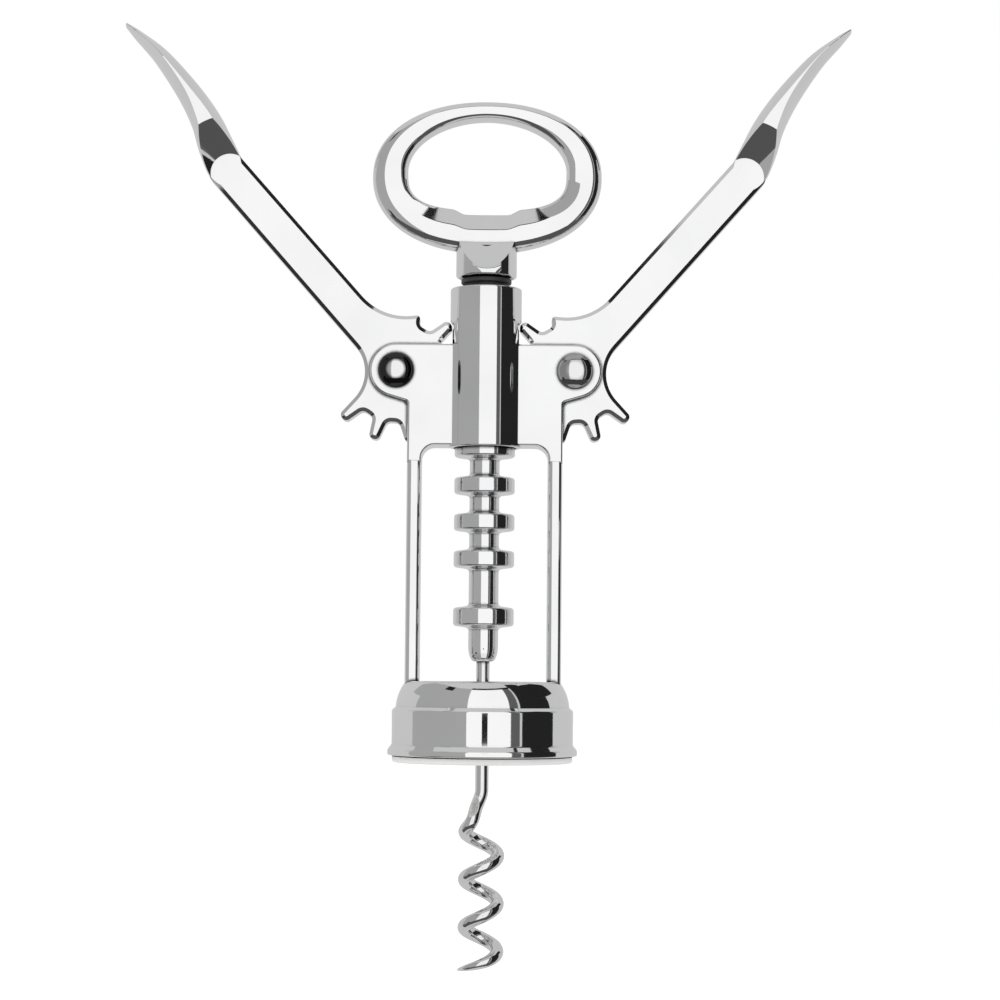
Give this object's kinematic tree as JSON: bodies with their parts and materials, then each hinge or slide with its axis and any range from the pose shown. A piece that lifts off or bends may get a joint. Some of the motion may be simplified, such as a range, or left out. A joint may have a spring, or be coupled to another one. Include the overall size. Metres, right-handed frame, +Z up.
{
  "type": "wing corkscrew",
  "caption": "Corkscrew with a worm on a ringed rack, two geared levers that raise it, a bell that seats on the bottle and an oval ring handle.",
  "frame": {"origin": "on the screw axis, at the plane where the lip of the bottle's neck seats inside the bell", "axes": "+Z up along the screw axis, from the bottle towards the handle; X across the two levers; +Y from the front plate to the back plate"},
  "size_m": [0.1508, 0.0386, 0.1943],
  "materials": {
    "chrome_casting": "bright polished chrome plating",
    "chrome_bell": "bright polished chrome plating",
    "chrome_lever": "bright polished chrome plating",
    "chrome_handle": "bright polished chrome plating",
    "chrome_shaft": "polished chrome plating",
    "steel_worm": "polished plated steel wire",
    "steel_rivet": "polished domed rivet",
    "white_plastic": "moulded, semi-gloss",
    "black_plastic": "moulded, matte"
  },
  "bodies": {
    "frame": {"frame": "chrome_casting", "bell": "chrome_bell", "bell_insert": "white_plastic", "left_rivet": "steel_rivet", "right_rivet": "steel_rivet"},
    "left_lever": {"left_lever": "chrome_lever"},
    "right_lever": {"right_lever": "chrome_lever"},
    "carriage": {"shaft_bush": "black_plastic"},
    "screw": {"rack_shaft": "chrome_shaft", "worm": "steel_worm", "handle": "chrome_handle"}
  },
  "joints": [
    {"name": "left_lever_hinge", "type": "hinge", "parent": "frame", "child": "left_lever", "pos_m": [-0.0183, 0, 0.06685], "axis": [0, 1, 0], "range_deg": [-132.5, 8]},
    {"name": "right_lever_hinge", "type": "hinge", "parent": "frame", "child": "right_lever", "pos_m": [0.0183, 0, 0.06685], "axis": [0, 1, 0], "range_deg": [-8, 132.5]},
    {"name": "screw_slide", "type": "slide", "parent": "frame", "child": "carriage", "axis": [0, 0, 1], "range_m": [-0.00201, 0.0333]},
    {"name": "screw_spin", "type": "hinge", "parent": "carriage", "child": "screw", "pos_m": [0, 0, 0.0865], "axis": [0, 0, 1], "continuous": true}
  ],
  "couplings": [
    {"joint": "right_lever_hinge", "follows": "left_lever_hinge", "ratio": -1},
    {"joint": "screw_slide", "follows": "left_lever_hinge", "m_per_rad": -0.0144}
  ]
}
